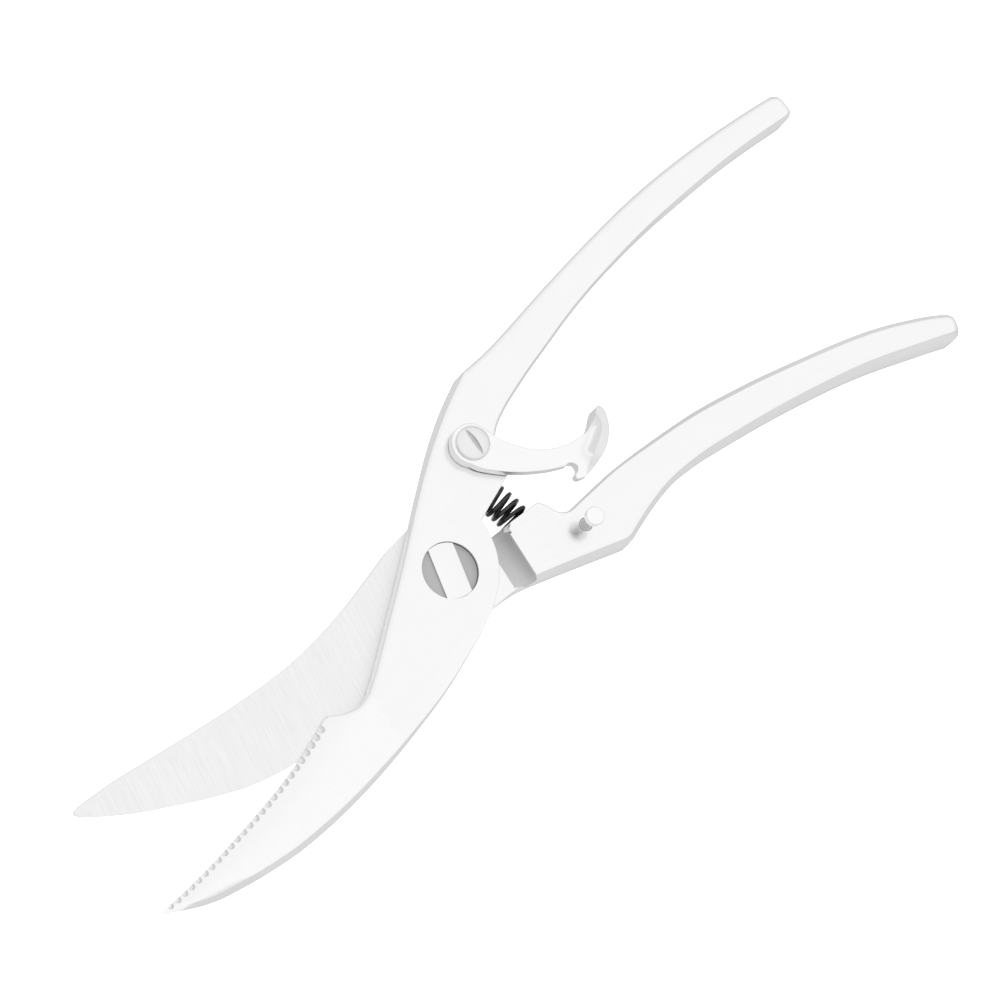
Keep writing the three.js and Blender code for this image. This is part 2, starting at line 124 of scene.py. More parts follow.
SCREW_SLOT_HALF_WIDTH = 0.62
SCREW_SLOT_RISE = 0.6  # from the rim up to the slot's floor
SCREW_SLOT_ANGLE = 85.0
SCREW_SLOT_CUTTER_TOP = 4.0  # above the rim
WASHER_RADIUS = 4.7
WASHER_CHAMFER = 0.15

STUD_CENTRE = np.array([33.0, -11.6])
STUD_TOP = 16.2
STUD_HEAD_THICKNESS = 1.6
STUD_HEAD_RADIUS = 2.2
STUD_NECK_RADIUS = 1.0
STUD_SHANK_RADIUS = 1.5
STUD_FOOT_Z = 3.0
STUD_SHOULDER_DROP = 0.02  # the shank ends just under the handle's face
STUD_TOP_ROUNDING = 0.35
STUD_UNDER_CHAMFER = 0.15

SERRATION_PITCH = 2.08
SERRATION_START = 3.4  # from the edge's heel to the middle of the first groove
SERRATION_COUNT = 26
SERRATION_LEAN = 0.35  # the grooves lean inward, but their floors are level
SERRATION_RADIUS_HEEL = 0.95
SERRATION_RADIUS_TIP = 0.75
SERRATION_SEGMENTS = 28
SERRATION_CUTTER_HEIGHT = 4.0
SERRATION_LIP = 0.28  # steel left under each groove, which keeps the edge line whole
ROUND_STEPS = (0.04, 0.15, 0.36, 0.66, 1.0)  # where the rings of a rounding lie, as shares of its width
BEVEL_CREASE = 0.66  # a bevel's two facets meet at this share of its width
BEVEL_INNER_DROP = 0.12  # the inner facet's share of the bevel's depth
BEVEL_STEPS = (0.33, 0.6, 0.66, 0.72, 1.0)
RING_GUARD = 0.18  # the flat beyond a rounding starts with one more ring
RING_KEPT_SHARE = 0.985  # ring points go where an edge is nearer than this share of the ring's offset
RING_LINK_REACH = 4  # ring points are joined if their places in the outline are nearer than this
LATTICE_ROW = 0.87  # the height of a row of triangles, as a share of the grid
LATTICE_REACH = 2.2  # the widest rounding that the lattice keeps clear of
LATTICE_MARGIN = 0.6
LEAST_STEEL = 0.12  # a forging is never thinner than this
TOP, BACK = 2, 5  # where the edge sizes of each face start in an outline's rows
CHUNK = 400  # points measured at a time, which limits the memory used
SHARP_ANGLE = 32  # edges sharper than this, in degrees, are not shaded smooth
ROUND_PIECE_SHARP_ANGLE = 40


# ---------------- curves and outlines

def curve(points, spacing):
    """Evenly spaced points along a straight line, or along a smooth curve through three or more points."""
    given = np.array(points, float)
    if len(given) == 2:
        fine = given
    else:
        padded = np.vstack([given[:1], given, given[-1:]])
        t = np.linspace(0, 1, 17)[:, None]
        fine = []
        for a, b, c, d in zip(padded, padded[1:], padded[2:], padded[3:]):
            leave, arrive = (c - a) / 2, (d - b) / 2
            cubic = (2 * b - 2 * c + leave + arrive) * t ** 3
            square = (3 * c - 3 * b - 2 * leave - arrive) * t ** 2
            fine.append(cubic + square + leave * t + b)
        fine = np.vstack(fine)
    length = np.concatenate([[0], np.cumsum(np.linalg.norm(np.diff(fine, axis=0), axis=1))])
    count = max(1, round(length[-1] / spacing))
    at = np.linspace(0, length[-1], count + 1)
    return np.column_stack([np.interp(at, length, fine[:, 0]), np.interp(at, length, fine[:, 1])])


def arc(centre, radius, start, end, count=12):
    angles = np.radians(np.linspace(start, end, count))
    return np.array(centre) + radius * np.column_stack([np.cos(angles), np.sin(angles)])


def edge(points, top=(0.15, 0.15), back=None, bevel=False, spacing=1.0, back_bevel=False):
    """One stretch of an outline. top and back are the (width, depth) of the edge's rounding or bevel on the
    upper and lower face; several pairs, evenly spaced along the stretch, say how it changes."""
    line = curve(points, spacing)
    share = np.linspace(0, 1, len(line))

    def sizes(value):
        pairs = np.array(value, float).reshape(-1, 2)
        at = np.linspace(0, 1, len(pairs))
        return np.column_stack([np.interp(share, at, pairs[:, 0]), np.interp(share, at, pairs[:, 1])])

    back_sizes = sizes(top if back is None else back)
    columns = [line, sizes(top), np.full((len(line), 1), bevel), back_sizes]
    columns.append(np.full((len(line), 1), back_bevel))
    return np.hstack(columns)[:-1]


def distances(points, starts, ends):
    """The distance from each point to each segment."""
    along = ends - starts
    squared = np.maximum((along ** 2).sum(1), 1e-12)
    offset = points[:, None, :] - starts[None]
    share = np.clip((offset * along).sum(2) / squared, 0, 1)
    return np.linalg.norm(offset - share[..., None] * along, axis=2)


def nearest(points, starts, ends):
    """The distance from each point to the nearest of the segments."""
    parts = np.array_split(points, len(points) // CHUNK + 1)
    return np.concatenate([distances(part, starts, ends).min(1) for part in parts])


def bevel_profile(short):
    """A bevel has a steep outer facet and a shallow inner one; short is 1 at the edge and 0 at its inside."""
    inner_drop = BEVEL_INNER_DROP * short / (1 - BEVEL_CREASE)
    outer_share = (short - (1 - BEVEL_CREASE)) / BEVEL_CREASE
    return np.where(outer_share < 0, inner_drop, BEVEL_INNER_DROP + (1 - BEVEL_INNER_DROP) * outer_share)


def drop(points, outline, column):
    """How far the edges' roundings and bevels lower the face at each point."""
    following = np.roll(outline, -1, axis=0)
    width = (outline[:, column] + following[:, column]) / 2
    depth = (outline[:, column + 1] + following[:, column + 1]) / 2
    bevel = outline[:, column + 2] > 0.5
    result = np.zeros(len(points))
    for chunk in np.array_split(np.arange(len(points)), len(points) // CHUNK + 1):
        away = distances(points[chunk], outline[:, :2], following[:, :2])
        short = np.clip(1 - away / np.maximum(width, 1e-6), 0, 1)
        lowered = depth * np.where(bevel, bevel_profile(short), 1 - np.sqrt(1 - short ** 2))
        result[chunk] = lowered.max(1)
    return result


def line_distance(points, route, spacing):
    """The distance from each point to a smooth line."""
    line = curve(route, spacing)
    return nearest(points, line[:-1], line[1:])


def offset_line(route, spacing, distance):
    """A smooth line, moved sideways to its left."""
    line = curve(route, spacing)
    run = np.gradient(line, axis=0)
    run /= np.linalg.norm(run, axis=1)[:, None]
    return line + distance * np.column_stack([-run[:, 1], run[:, 0]])


def inside(points, outline):
    """Whether each point lies inside the closed outline."""
    x, y = points[:, 0][:, None], points[:, 1][:, None]
    start, end = outline[:, :2], np.roll(outline[:, :2], -1, axis=0)
    rises = (start[:, 1] > y) != (end[:, 1] > y)
    run = np.where(end[:, 1] == start[:, 1], 1e-9, end[:, 1] - start[:, 1])
    crossing = start[:, 0] + (y - start[:, 1]) * (end[:, 0] - start[:, 0]) / run
    return (rises & (x < crossing)).sum(1) % 2 == 1


def ring_offsets(outline, column):
    """The offsets of one face's rings, one column for each ring and one row for each outline point."""
    width = outline[:, column]
    bevel = outline[:, column + 2] > 0.5
    rounded = [width * step for step in ROUND_STEPS]
    bevelled = [width * step for step in BEVEL_STEPS]
    return [np.where(bevel, b, r) for r, b in zip(rounded, bevelled)] + [np.maximum(width, 0.1) + RING_GUARD]


# ---------------- meshes

def new_object(name, vertices, faces, smooth_angle=SHARP_ANGLE):
    """A mesh object from points in mm, shaded smooth except at sharp edges."""
    mesh = bpy.data.meshes.new(name)
    mesh.from_pydata((np.array(vertices, float) * MM).tolist(), [], [list(map(int, f)) for f in faces])
    mesh.validate()
    mesh.update()
    shade(mesh, smooth_angle)
    return in_scene(name, mesh)


def in_scene(name, data):
    """A new object, linked to the scene."""
    obj = bpy.data.objects.new(name, data)
    bpy.context.scene.collection.objects.link(obj)
    return obj


def shade(mesh, smooth_angle):
    mesh.shade_smooth()
    mesh.set_sharp_from_angle(angle=math.radians(smooth_angle))


def forging(name, outline, top, back, creases=(), grid=3.0):
    """A solid between two height functions over an outline. Its mesh follows rings inside the outline, so
    that roundings are smooth, and the creases, which are lists of points."""
    count = len(outline)
    line = outline[:, :2]
    before, after = np.roll(line, 1, axis=0), np.roll(line, -1, axis=0)
    tangent = after - before
    tangent /= np.linalg.norm(tangent, axis=1)[:, None]
    normal = np.column_stack([-tangent[:, 1], tangent[:, 0]])
    points = [line]
    links = [[(i, (i + 1) % count) for i in range(count)]]
    total = count
    offsets = ring_offsets(outline, TOP) + ring_offsets(outline, BACK)
    for offset in offsets:
        ring = line + normal * offset[:, None]
        depth = nearest(ring, line, after)
        kept = np.flatnonzero((depth > RING_KEPT_SHARE * offset) & inside(ring, outline))
        points.append(ring[kept])
        neighbours = zip(range(len(kept)), range(1, len(kept)))
        near = [(a, b) for a, b in neighbours if kept[b] - kept[a] < RING_LINK_REACH]
        links.append([(total + a, total + b) for a, b in near])
        total += len(kept)
    reach = max(offset.max() for offset in offsets)
    low, high = line.min(0), line.max(0)
    columns = np.arange(low[0], high[0], grid)
    rows = np.arange(low[1], high[1], grid * LATTICE_ROW)
    lattice = np.array([(x + grid / 2 * (j % 2), y) for j, y in enumerate(rows) for x in columns])
    lattice = lattice[inside(lattice, outline)]
    depth = nearest(lattice, line, after)
    lattice = lattice[depth > min(reach, LATTICE_REACH) + LATTICE_MARGIN]
    points.append(lattice)
    total += len(lattice)
    for crease in creases:
        points.append(np.array(crease, float))
        links.append([(total + i, total + i + 1) for i in range(len(crease) - 1)])
        total += len(crease)
    flat = np.vstack(points)
    edges = [pair for group in links for pair in group]
    plan, _, triangles, *_ = delaunay_2d_cdt([Vector(p) for p in flat], edges, [], 1, 1e-4)
    plan = np.array([tuple(p) for p in plan])
    triangles = np.array(triangles)
    triangles = triangles[inside(plan[triangles].mean(axis=1), line)]
    used = np.unique(triangles)
    renumber = np.full(len(plan), -1)
    renumber[used] = np.arange(len(used))
    plan, triangles = plan[used], renumber[triangles]
    upper = top(plan) - drop(plan, outline, TOP)
    lower = back(plan) + drop(plan, outline, BACK)
    lower = np.minimum(lower, upper - LEAST_STEEL)
    size = len(plan)
    sides = {}
    for tri in triangles:
        for a, b in zip(tri, np.roll(tri, -1)):
            sides[(a, b)] = True
    rim = [(a, b) for a, b in sides if (b, a) not in sides]
    faces = [tuple(t) for t in triangles] + [tuple(t[::-1] + size) for t in triangles]
    faces += [(b, a, a + size, b + size) for a, b in rim]
    vertices = np.vstack([np.column_stack([plan, upper]), np.column_stack([plan, lower])])
    return new_object(name, vertices, faces)


def turned(name, profile, centre=(0, 0), segments=96, smooth_angle=SHARP_ANGLE):
    """A solid of revolution from (radius, z) pairs, from bottom to top, that starts and ends on the axis or
    closes on itself."""
    profile = [tuple(map(float, p)) for p in profile]
    closed = profile[0] == profile[-1]
    if closed:
        profile = profile[:-1]
    vertices, rows = [], []
    for radius, z in profile:
        if radius < 1e-9:
            rows.append([len(vertices)] * segments)
            vertices.append((centre[0], centre[1], z))
            continue
        rows.append(list(range(len(vertices), len(vertices) + segments)))
        for k in range(segments):
            angle = 2 * math.pi * k / segments
            vertices.append((centre[0] + radius * math.cos(angle), centre[1] + radius * math.sin(angle), z))
    pairs = list(zip(rows, rows[1:])) + ([(rows[-1], rows[0])] if closed else [])
    faces = []
    for low, high in pairs:
        for k in range(segments):
            following = (k + 1) % segments
            corners = [low[k], low[following], high[following], high[k]]
            face = list(dict.fromkeys(corners))
            if len(face) > 2:
                faces.append(face)
    return new_object(name, vertices, faces, smooth_angle)


def prism(outline, bottom, top, shift=(0, 0)):
    """The vertices and faces of a plain closed prism, for cutting."""
    count = len(outline)
    ring = [(x + shift[0], y + shift[1]) for x, y in outline]
    vertices = [(x, y, bottom) for x, y in ring] + [(x, y, top) for x, y in ring]
    faces = [tuple(range(count))[::-1], tuple(range(count, 2 * count))]
    faces += [(i, (i + 1) % count, (i + 1) % count + count, i + count) for i in range(count)]
    return vertices, faces


def circle(radius, segments=96):
    angles = np.linspace(0, 2 * np.pi, segments, endpoint=False)
    return radius * np.column_stack([np.cos(angles), np.sin(angles)])


def moved(shape, matrix):
    vertices, faces = shape
    return [tuple(matrix @ Vector(v)) for v in vertices], faces


def cut(obj, shapes, smooth_angle=SHARP_ANGLE, material=0):
    """Cuts closed shapes, which don't touch each other, out of an object."""
    vertices, faces = [], []
    for shape_vertices, shape_faces in shapes:
        faces += [tuple(i + len(vertices) for i in face) for face in shape_faces]
        vertices += list(shape_vertices)
    tool = new_object("cutter", vertices, faces)
    for _ in range(len(obj.data.materials)):
        tool.data.materials.append(None)
    tool.data.polygons.foreach_set("material_index", np.full(len(faces), material, np.int32))
    modifier = obj.modifiers.new("cut", "BOOLEAN")
    modifier.operation = "DIFFERENCE"
    modifier.solver = "EXACT"
    modifier.object = tool
    apply_modifiers(obj)
    bpy.data.objects.remove(tool)
    shade(obj.data, smooth_angle)


def apply_modifiers(obj):
    bpy.context.view_layer.update()
    evaluated = obj.evaluated_get(bpy.context.evaluated_depsgraph_get())
    mesh = bpy.data.meshes.new_from_object(evaluated)
    obj.modifiers.clear()
    old = obj.data
    obj.data = mesh
    bpy.data.meshes.remove(old)


def soften(obj, width):
    """Rounds an object's sharp edges."""
    modifier = obj.modifiers.new("soften", "BEVEL")
    modifier.width = width * MM
    modifier.segments = 2
    modifier.limit_method = "ANGLE"
    modifier.angle_limit = math.radians(35)
    modifier.harden_normals = False
    modifier.use_clamp_overlap = True
    apply_modifiers(obj)
    shade(obj.data, ROUND_PIECE_SHARP_ANGLE)


# ---------------- materials

STEEL_TINT = (1.0, 1.0, 1.004)
NOISE_LOW, NOISE_HIGH = 0.3, 0.7  # the part of the noise's range that the marks use
PATCH_SCALE = 90.0
RIDGE_HEIGHT = 0.0002  # in metres


def setting(node, values):
    """A shader node, with the values of some of its inputs set."""
    for socket, value in values.items():
        node.inputs[socket].default_value = value
    return node


def steel(name, tone, roughness, grain_angle=0.0, grain=(25, 2500), roughness_spread=0.04, tone_spread=0.012,
          bump=0.01, blotch=0.004):
    """Steel with fine parallel grinding marks. grain_angle is the marks' direction in degrees from +X, and
    grain their frequency along and across them, per metre."""
    material = bpy.data.materials.new(name)
    material.use_nodes = True
    nodes, links = material.node_tree.nodes, material.node_tree.links
    shader = setting(nodes["Principled BSDF"], {"Metallic": 1.0})
    place = nodes.new("ShaderNodeTexCoord")
    turn = setting(nodes.new("ShaderNodeMapping"), {"Rotation": (0, 0, -math.radians(grain_angle))})
    stretch = setting(nodes.new("ShaderNodeMapping"), {"Scale": (grain[0], grain[1], grain[1])})
    marks = setting(nodes.new("ShaderNodeTexNoise"), {"Scale": 1.0, "Detail": 2.0, "Roughness": 0.65})
    links.new(place.outputs["Object"], turn.inputs["Vector"])
    links.new(turn.outputs["Vector"], stretch.inputs["Vector"])
    links.new(stretch.outputs["Vector"], marks.inputs["Vector"])
    patches = setting(nodes.new("ShaderNodeTexNoise"), {"Scale": PATCH_SCALE, "Detail": 3.0})
    links.new(place.outputs["Object"], patches.inputs["Vector"])

    def spread(source, low, high):
        values = {"From Min": NOISE_LOW, "From Max": NOISE_HIGH, "To Min": low, "To Max": high}
        node = setting(nodes.new("ShaderNodeMapRange"), values)
        links.new(source.outputs["Fac"], node.inputs["Value"])
        return node.outputs["Result"]

    links.new(spread(marks, roughness - roughness_spread / 2, roughness + roughness_spread / 2),
              shader.inputs["Roughness"])
    tones = nodes.new("ShaderNodeMath")
    tones.operation = "MULTIPLY"
    links.new(spread(marks, tone * (1 - tone_spread), tone * (1 + tone_spread)), tones.inputs[0])
    links.new(spread(patches, 1 - blotch, 1 + blotch), tones.inputs[1])
    colour = nodes.new("ShaderNodeCombineColor")
    for channel, shade_factor in zip(("Red", "Green", "Blue"), STEEL_TINT):
        scale = nodes.new("ShaderNodeMath")
        scale.operation = "MULTIPLY"
        scale.inputs[1].default_value = shade_factor
        links.new(tones.outputs[0], scale.inputs[0])
        links.new(scale.outputs[0], colour.inputs[channel])
    links.new(colour.outputs["Color"], shader.inputs["Base Color"])
    ridges = setting(nodes.new("ShaderNodeBump"), {"Strength": bump, "Distance": RIDGE_HEIGHT})
    links.new(marks.outputs["Fac"], ridges.inputs["Height"])
    links.new(ridges.outputs["Normal"], shader.inputs["Normal"])
    return material


SATIN = steel("satin_steel", 0.88, 0.21, grain_angle=12, grain=(25, 2500))
SATIN_REAR = steel("satin_steel_rear", 0.88, 0.21, grain_angle=-14, grain=(25, 2500))
GROUND = steel("ground_blade_steel", 0.83, 0.34, grain_angle=75, grain=(90, 3800), tone_spread=0.05,
               roughness_spread=0.08, bump=0.03, blotch=0.01)
BLADE = steel("blade_steel", 0.895, 0.24, grain_angle=-75, grain=(60, 2500))
# painted shade: a darker, duller steel for the relief's concave fillet, the screw's slot and the stud's neck,
# where shade falls
RELIEF_SHADE = steel("relief_shade_steel", 0.69, 0.7, grain_angle=-70, grain=(40, 2000))
# painted shade: a darker steel for the pits beside the bars of the pivot bolt and the nut
RECESS_SHADE = steel("recess_shade_steel", 0.49, 0.5, grain_angle=-70, grain=(40, 2000))
# painted shade: a darker, duller steel in the cutting edge's grooves
GROOVE_SHADE = steel("groove_shade_steel", 0.80, 0.45, grain_angle=60, grain=(60, 2000))
POLISHED = steel("polished_steel", 0.90, 0.13, grain_angle=30, grain=(40, 2000), roughness_spread=0.02)
LEVER = steel("lever_steel", 0.89, 0.22, grain_angle=-30, grain=(25, 2500))
# the lever's side walls: rougher steel, and a darker tone that is painted shade
LEVER_SIDE_SHADE = steel("lever_side_shade_steel", 0.84, 0.4, grain_angle=-30, grain=(40, 2000))
TAB_TOP = steel("tab_top_steel", 0.78, 0.3, grain_angle=-60, grain=(40, 2500))
SCREW = steel("screw_steel", 0.80, 0.2, grain_angle=30, grain=(40, 2000))
PIVOT = steel("pivot_steel", 0.88, 0.22, grain_angle=70, grain=(25, 2500))
SPRING = steel("spring_steel", 0.05, 0.12, grain=(300, 300), tone_spread=0.3)


def dress(obj, *materials):
    for material in materials:
        obj.data.materials.append(material)


def paint(obj, index, chosen):
    """Gives a material slot to the faces that a test of their centres and normals, in mm, picks out."""
    polygons = obj.data.polygons
    centres = np.zeros(len(polygons) * 3)
    normals = np.zeros(len(polygons) * 3)
    polygons.foreach_get("center", centres)
    polygons.foreach_get("normal", normals)
    current = np.zeros(len(polygons), np.int32)
    polygons.foreach_get("material_index", current)
    picked = chosen(centres.reshape(-1, 3) / MM, normals.reshape(-1, 3))
    polygons.foreach_set("material_index", np.where(picked, index, current).astype(np.int32))


# ---------------- shapes that both halves share

def taper(points):
    """How much thinner the blade is than the joint plate."""
    share = np.clip((TAPER_START_X - points[:, 0]) / (TAPER_START_X - TAPER_END_X), 0, 1.02)
    return (PLATE_THICKNESS - TIP_THICKNESS) * share


def beyond_wall(points, wall_point, facing):
    """How far each point lies in front of a wall that faces the given direction, in degrees from +X."""
    direction = np.array([math.cos(math.radians(facing)), math.sin(math.radians(facing))])
    return (points - np.array(wall_point)) @ direction


def relief_height(beyond):
    """How far the steel stands above the joint plate, beyond a relief wall: the full height, the wall with
    its rounded top edge, the concave fillet, and the plate."""
    r, full = RELIEF_FILLET_RADIUS, HANDLE_THICKNESS - PLATE_THICKNESS
    rounding = np.clip((beyond + WALL_TOP_ROUNDING) / WALL_TOP_ROUNDING, 0, 1)
    top = full - WALL_TOP_ROUNDING * (1 - np.sqrt(1 - rounding ** 2))
    wall_top = full - WALL_TOP_ROUNDING
    wall = wall_top + (r - wall_top) * np.clip(beyond / WALL_DRAFT, 0, 1)
    across = np.clip((beyond - WALL_DRAFT) / r, 0, 1)
    fillet = r * (1 - np.sqrt(1 - (1 - across) ** 2))
    return np.where(beyond <= 0, top, np.where(beyond < WALL_DRAFT, wall, fillet))


def relief_creases(wall_point, facing, half_length):
    """Mesh lines along a relief wall, its rounded top edge and its fillet."""
    direction = np.array([math.cos(math.radians(facing)), math.sin(math.radians(facing))])
    side = np.array([-direction[1], direction[0]])
    rounding = [-WALL_TOP_ROUNDING * (1 - math.sin(a)) for a in np.linspace(0, math.pi / 2, 4)]
    fillet = [WALL_DRAFT + RELIEF_FILLET_RADIUS * (1 - math.cos(a)) for a in np.linspace(0, math.pi / 2, 14)]
    lines = []
    for away in [-WALL_TOP_ROUNDING - 0.15] + rounding + fillet + [fillet[-1] + 0.2]:
        middle = np.array(wall_point) + away * direction
        lines.append([middle + side * s for s in np.linspace(-half_length, half_length, 30)])
    return lines


def spring_point(angle):
    """A point on the arc that the spring's centre line follows."""
    turn = math.radians(angle)
    return Vector((SPRING_ARC_RADIUS * math.cos(turn), SPRING_ARC_RADIUS * math.sin(turn), CONTACT_Z))


def spring_bore(mouth_angle, end_angle):
    """A cutter for a handle root's blind hole, from its mouth to the spring's end."""
    mouth, end = spring_point(mouth_angle), spring_point(end_angle)
    length = (end - mouth).length + 2 * SPRING_WIRE_RADIUS
    turn = (end - mouth).to_track_quat("Z", "Y").to_matrix().to_4x4()
    bore = prism(circle(SPRING_BORE_RADIUS, 64), -SPRING_BORE_LEAD, length)
    return moved(bore, Matrix.Translation(mouth) @ turn)


# ---------------- front half

SPINE = [(-100, -16.9), (-91.3, -21.4), (-82.3, -23.8), (-72, -25.4), (-64, -25.9), (-54, -25.6),
         (-43.1, -24.5), (-31.2, -22.5), (-18.8, -19.8), (-4.7, -15.4)]
FRONT_EDGE = [(-43.4, -7.1), (-53.2, -10.1), (-61.2, -12), (-69, -13.4), (-77, -14.5), (-85, -15.5),
              (-92.5, -16.1), (-100, -16.4)]
FRONT_WALL, FRONT_WALL_FACING = (15.8, 6.7), 205.8
SHANK = [(34.9, 32.9), (24.3, 28.2), (10.7, 20.4), (-8.2, 7.3), (-21.6, -1.6), (-28.5, -6.2), (-33.3, -9)]
SHANK_RAMP_START, SHANK_RAMP_END = (34.9, 32.9), (9.5, 19.6)
SHANK_RAMP_WIDTH = 1.2  # at the ramp's start, where its depth is the same
SHANK_RAMP_WIDENING = 3.3
SHANK_RAMP_CURVE = 1.3
SHANK_MITRE = (0.232, -0.973)  # inward from the corner between shank and handle
FRONT_BLADE_FINISH_X = -34.0
FRONT_BOLT_HOLE = (3.0, 8.0)
GRIND_RUNOUT = (-34.0, -4.4)  # the grinding wheel runs on past the edge's heel
GRIND_WIDTH_HEEL = 9.0
GRIND_WIDTH_TIP = 2.5
GRIND_CURVE = 1.4
GRIND_FADE_START_X = -33.0
GRIND_FADE_LENGTH = 10.0
EDGE_THICKNESS = 0.7
TIP_FACET_START_X = -78.0
TIP_FACET_FADE_LENGTH = 8.0
TIP_FACET_END_LENGTH = 12.0  # it narrows to a share of its width over this length
TIP_FACET_END_SHARE = 0.15
TIP_FACET_SLOPE = 0.6
TIP_FACET_CURVE = 1.3
TIP_FACET_WIDTH = 3.6

def front_outline():
    return np.vstack([
        edge(FRONT_EDGE, top=(0.1, 0.1), back=(0.05, 0.05), spacing=0.6),
        edge([(-100, -16.4), (-100, -16.9)], top=(0.1, 0.1), back=(0.05, 0.05)),
        edge(SPINE, top=((1.2, 0.8), (1.9, 1.5), (2.1, 1.7), (1.7, 1.4), (0.8, 0.6), (0.2, 0.15)),
             back=(0.2, 0.2), bevel=True, spacing=0.9),
        edge([(-4.7, -15.4), (1.6, -12.7), (5, -10.6), (7.8, -8.4), (10, -6), (11.7, -3.4), (12.8, -0.7),
              (13.4, 1.5), (13.7, 4.1)], top=(0.2, 0.2), back=(0.2, 0.2), spacing=0.7),
        edge([(13.7, 4.1), (26.9, 8.4)], top=((0.2, 0.2), (0.4, 0.4)), back=(0.3, 0.3), spacing=0.7),
        edge([(26.9, 8.4), (28.6, 13.6), (31, 17.3), (36.4, 20.1), (45.6, 22.9), (54.1, 25), (67.1, 28),
              (80, 30.1), (98, 32), (120, 32.8), (134, 32.6), (147, 31.8)],
             top=((0.9, 0.8), (1.3, 1.1)), back=(1.2, 1.2), bevel=True),
        edge([(147, 31.8), (148.6, 33), (148.98, 35), (148.8, 37.4), (147.4, 38.7)],
             top=((1.3, 1.1), (1.9, 1.6)), back=(1.4, 1.4), bevel=True, spacing=0.5),
        edge([(147.4, 38.7), (139.3, 39.5), (125.8, 40.4), (111.6, 40.69), (97.2, 40.2), (81.9, 38.7),
              (66.4, 36.7), (50.6, 34.3), (42.9, 33.3), (34.9, 32.9)], top=((1.9, 1.6), (2.2, 1.6)),
             back=(1.6, 1.6)),
        edge(SHANK, top=((2.2, 1.6), (2.6, 1.7), (2.6, 1.6), (2.2, 1.6)), back=(0.3, 0.3)),
        edge([(-33.3, -9), (-36.6, -9.9), (-40, -9.2), (-43.4, -7.1)],
             top=((2.2, 1.6), (1.4, 1.1), (0.15, 0.15)), back=((0.3, 0.3), (0.05, 0.05)), spacing=0.4),
    ])


def front_face(points):
    """The upper face: it thins towards the tip, curves down to the cutting edge, and has a facet beside the
    spine near the tip."""
    away = line_distance(points, [GRIND_RUNOUT] + FRONT_EDGE, 1.0)
    share = np.clip((points[:, 0] - TAPER_END_X) / (FRONT_EDGE[0][0] - TAPER_END_X), 0, 1)
    width = GRIND_WIDTH_TIP + (GRIND_WIDTH_HEEL - GRIND_WIDTH_TIP) * np.sqrt(share)
    thickness = PLATE_THICKNESS - taper(points)
    grind = (thickness - EDGE_THICKNESS) * np.clip(1 - away / width, 0, 1) ** GRIND_CURVE
    fade = np.clip((GRIND_FADE_START_X - points[:, 0]) / GRIND_FADE_LENGTH, 0, 1)
    grind *= fade * fade * (3 - 2 * fade)
    from_spine = line_distance(points, SPINE, 1.5)
    from_start = (TIP_FACET_START_X - points[:, 0]) / TIP_FACET_FADE_LENGTH
    facet_width = TIP_FACET_WIDTH * np.clip(from_start, 0, 1)
    facet_width *= np.clip((points[:, 0] - TAPER_END_X) / TIP_FACET_END_LENGTH, TIP_FACET_END_SHARE, 1)
    beyond = np.clip(1 - from_spine / np.maximum(facet_width, 1e-3), 0, 1)
    facet = TIP_FACET_SLOPE / TIP_FACET_CURVE * facet_width * beyond ** TIP_FACET_CURVE
    return HANDLE_THICKNESS - taper(points) - np.maximum(grind, facet)


def front_back(points):
    """The hidden face: the relief round the joint plate, and a ramp that takes the shank's lower edge up to
    the plate."""
    full = HANDLE_THICKNESS - PLATE_THICKNESS
    relief = full - relief_height(beyond_wall(points, FRONT_WALL, FRONT_WALL_FACING))
    start, end = np.array(SHANK_RAMP_START), np.array(SHANK_RAMP_END)
    share = np.clip((points - start) @ (end - start) / ((end - start) @ (end - start)), 0, 1)
    width = SHANK_RAMP_WIDTH + SHANK_RAMP_WIDENING * share
    away = line_distance(points, SHANK, 0.5)
    depth = SHANK_RAMP_WIDTH + (full - SHANK_RAMP_WIDTH) * share ** SHANK_RAMP_CURVE
    ramp = depth * np.clip(1 - away / width, 0, 1)
    return np.maximum(relief, ramp)


def serrations():
    """Half-round grooves in the face, centred on the cutting edge and smaller towards the tip."""
    blade = curve(FRONT_EDGE, 0.2)
    along = np.concatenate([[0], np.cumsum(np.linalg.norm(np.diff(blade, axis=0), axis=1))])
    shapes = []
    for index in range(SERRATION_COUNT):
        station = SERRATION_START + SERRATION_PITCH * index
        point, following = [np.array([np.interp(at, along, blade[:, axis]) for axis in (0, 1)])
                            for at in (station, station + 0.5)]
        run = Vector((*(following - point), 0)).normalized()
        inward = Vector((0, 0, 1)).cross(run)
        share = index / (SERRATION_COUNT - 1)
        radius = SERRATION_RADIUS_HEEL + (SERRATION_RADIUS_TIP - SERRATION_RADIUS_HEEL) * share
        lean = SERRATION_LEAN * inward
        shear = Matrix(((1, 0, lean.x, 0), (0, 1, lean.y, 0), (0, 0, 1, 0), (0, 0, 0, 1)))
        foot = Vector((point[0], point[1], FRONT_PLATE_Z + SERRATION_LIP))
        cutter = prism(circle(radius, SERRATION_SEGMENTS), 0, SERRATION_CUTTER_HEIGHT)
        shapes.append(moved(cutter, Matrix.Translation(foot) @ shear))
    return shapes


